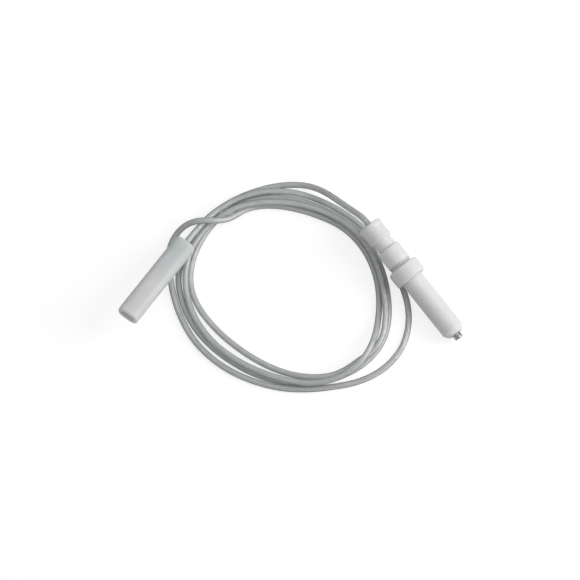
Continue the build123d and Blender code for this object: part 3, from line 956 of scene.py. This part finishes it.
def receptacle_rings():
    """From the crimp on the sleeve over the crimp on the wire and the neck to the rolled socket."""
    rings = crimp_rings(SLEEVE_CRIMP_START, SLEEVE_CRIMP_END, SLEEVE_CRIMP_R)
    rings.append(barrel_ring(SLEEVE_CRIMP_END + SEAM_OPENS, SLEEVE_CRIMP_R, -SLEEVE_CRIMP_R, TROUGH_TURN))
    rings.append(barrel_ring(SLEEVE_CRIMP_END + TROUGH_AFTER, TROUGH_R, TROUGH_FLOOR, TROUGH_TURN))
    rings += crimp_rings(WIRE_CRIMP_START, WIRE_CRIMP_END, WIRE_CRIMP_R)
    rings.append(barrel_ring(WIRE_CRIMP_END + SEAM_OPENS, WIRE_CRIMP_R, -WIRE_CRIMP_R, NECK_TURN))
    rings.append(sheet_ring(NECK_STATION, NECK_FLOOR, NECK))
    rings.append(sheet_ring(SOCKET_OPEN_STATION, SOCKET_FLOOR, SOCKET_OPEN))
    for station in SOCKET_STATIONS:
        rings.append(sheet_ring(station, SOCKET_FLOOR, SOCKET))
    rings.append(sheet_ring(SOCKET_FLARED_STATION, SOCKET_FLARED_FLOOR, SOCKET_FLARED))
    return [placed(boot, ring * MM) for ring in rings]


receptacle = Skin("push_on_receptacle").add(receptacle_rings(), edges=True).build(RECEPTACLE, sharp=50)
show(receptacle, "terminal", "receptacle")


# ---- floor, light and camera ----

FLOOR_HALF = 2.0
FLOOR_SEEN = 0.36  # greys of the floor, as the camera and as the part sees it
FLOOR_BOUNCED = 0.8
FLOOR_LIFT = 0.76  # the floor glows a little, like a light table, so that shadows stay faint
KEY_PLACE, KEY_SIZE, KEY_POWER = (0.60, 0.05, 0.40), 0.5, 2.9
TOP_PLACE, TOP_SIZE, TOP_POWER = (0.05, 0.10, 0.75), 0.6, 0.4
SKY_LOW = (0.22, 0.22, 0.225, 1)
SKY_HIGH = (0.44, 0.445, 0.45, 1)
SKY_HIGH_AT = 0.85
BACKDROP = (0.93, 0.93, 0.93, 1)
CAMERA_ELEVATION = 72.0
CAMERA_DISTANCE = 1.6
CAMERA_LENS = 326.7
CAMERA_SHIFT = (-0.24 * MM, -0.77 * MM)  # the camera looks this far beside the middle of the part


def floor_material():
    """Pale matte floor."""
    n = Nodes("floor")
    seen = n.two_tone(n.noise(6.0, 2.0), grey(FLOOR_SEEN * 0.99), grey(FLOOR_SEEN * 1.01))
    by_camera = n.node("LightPath").outputs["Is Camera Ray"]
    matte = n.node("BsdfDiffuse", {"Color": seen})
    lift = n.node("Emission", {"Color": (*grey(1.0), 1), "Strength": FLOOR_LIFT})
    direct = n.node("AddShader", {0: matte.outputs[0], 1: lift.outputs[0]})
    bounced = n.node("BsdfDiffuse", {"Color": (*grey(FLOOR_BOUNCED), 1)})
    return n.finish(n.mix(by_camera, bounced, direct))


def studio_floor(height):
    """A wide level floor that isn't part of the object."""
    corners = ((-1, -1), (1, -1), (1, 1), (-1, 1))
    mesh = bpy.data.meshes.new("floor")
    mesh.from_pydata([(x * FLOOR_HALF, y * FLOOR_HALF, height) for x, y in corners], [], [(0, 1, 2, 3)])
    mesh.materials.append(floor_material())
    made = bpy.data.objects.new("floor", mesh)
    bpy.context.scene.collection.objects.link(made)


def area_light(name, place, aim, size, power):
    """A round lamp that the camera doesn't see."""
    data = bpy.data.lights.new(name, "AREA")
    data.shape = "DISK"
    data.size = size
    data.energy = power
    lamp = bpy.data.objects.new(name, data)
    lamp.location = place
    lamp.rotation_euler = (aim - Vector(place)).to_track_quat("-Z", "Y").to_euler()
    lamp.visible_camera = False
    bpy.context.scene.collection.objects.link(lamp)


def studio_world():
    """Soft light from all round that's brighter from above, and a pale backdrop for the camera."""
    world = bpy.data.worlds.new("studio")
    world.use_nodes = True
    bpy.context.scene.world = world
    tree = world.node_tree
    tree.nodes.clear()
    out, back, lit, mix, path, place, split, ramp = (
        tree.nodes.new("ShaderNode" + kind)
        for kind in (
            "OutputWorld", "Background", "Background", "MixShader",
            "LightPath", "TexCoord", "SeparateXYZ", "ValToRGB",
        )
    )
    low, high = ramp.color_ramp.elements
    low.position, low.color = 0.0, SKY_LOW
    high.position, high.color = SKY_HIGH_AT, SKY_HIGH
    back.inputs["Color"].default_value = BACKDROP
    for output, socket in (
        (place.outputs["Generated"], split.inputs[0]),
        (split.outputs["Z"], ramp.inputs["Fac"]),
        (ramp.outputs["Color"], lit.inputs["Color"]),
        (path.outputs["Is Camera Ray"], mix.inputs["Fac"]),
        (lit.outputs[0], mix.inputs[1]),
        (back.outputs[0], mix.inputs[2]),
        (mix.outputs[0], out.inputs["Surface"]),
    ):
        tree.links.new(output, socket)


def studio_camera(aim):
    """A long lens that looks down on the part from the front."""
    data = bpy.data.cameras.new("camera")
    data.lens = CAMERA_LENS
    data.clip_start = 0.01
    tilt = math.radians(CAMERA_ELEVATION)
    back_way = Vector((0, -math.cos(tilt), math.sin(tilt)))
    made = bpy.data.objects.new("camera", data)
    made.location = aim + back_way * CAMERA_DISTANCE
    made.rotation_euler = (-back_way).to_track_quat("-Z", "Y").to_euler()
    bpy.context.scene.collection.objects.link(made)
    bpy.context.scene.camera = made


middle = (cad_low + cad_high) / 2
studio_floor(float(cad_low.z))
area_light("key", KEY_PLACE, middle, KEY_SIZE, KEY_POWER)
area_light("top", TOP_PLACE, middle, TOP_SIZE, TOP_POWER)
studio_world()
studio_camera(Vector((middle.x + CAMERA_SHIFT[0], middle.y + CAMERA_SHIFT[1], cad_low.z)))
bpy.context.scene.view_settings.view_transform = "Standard"

bpy.context.view_layer.update()
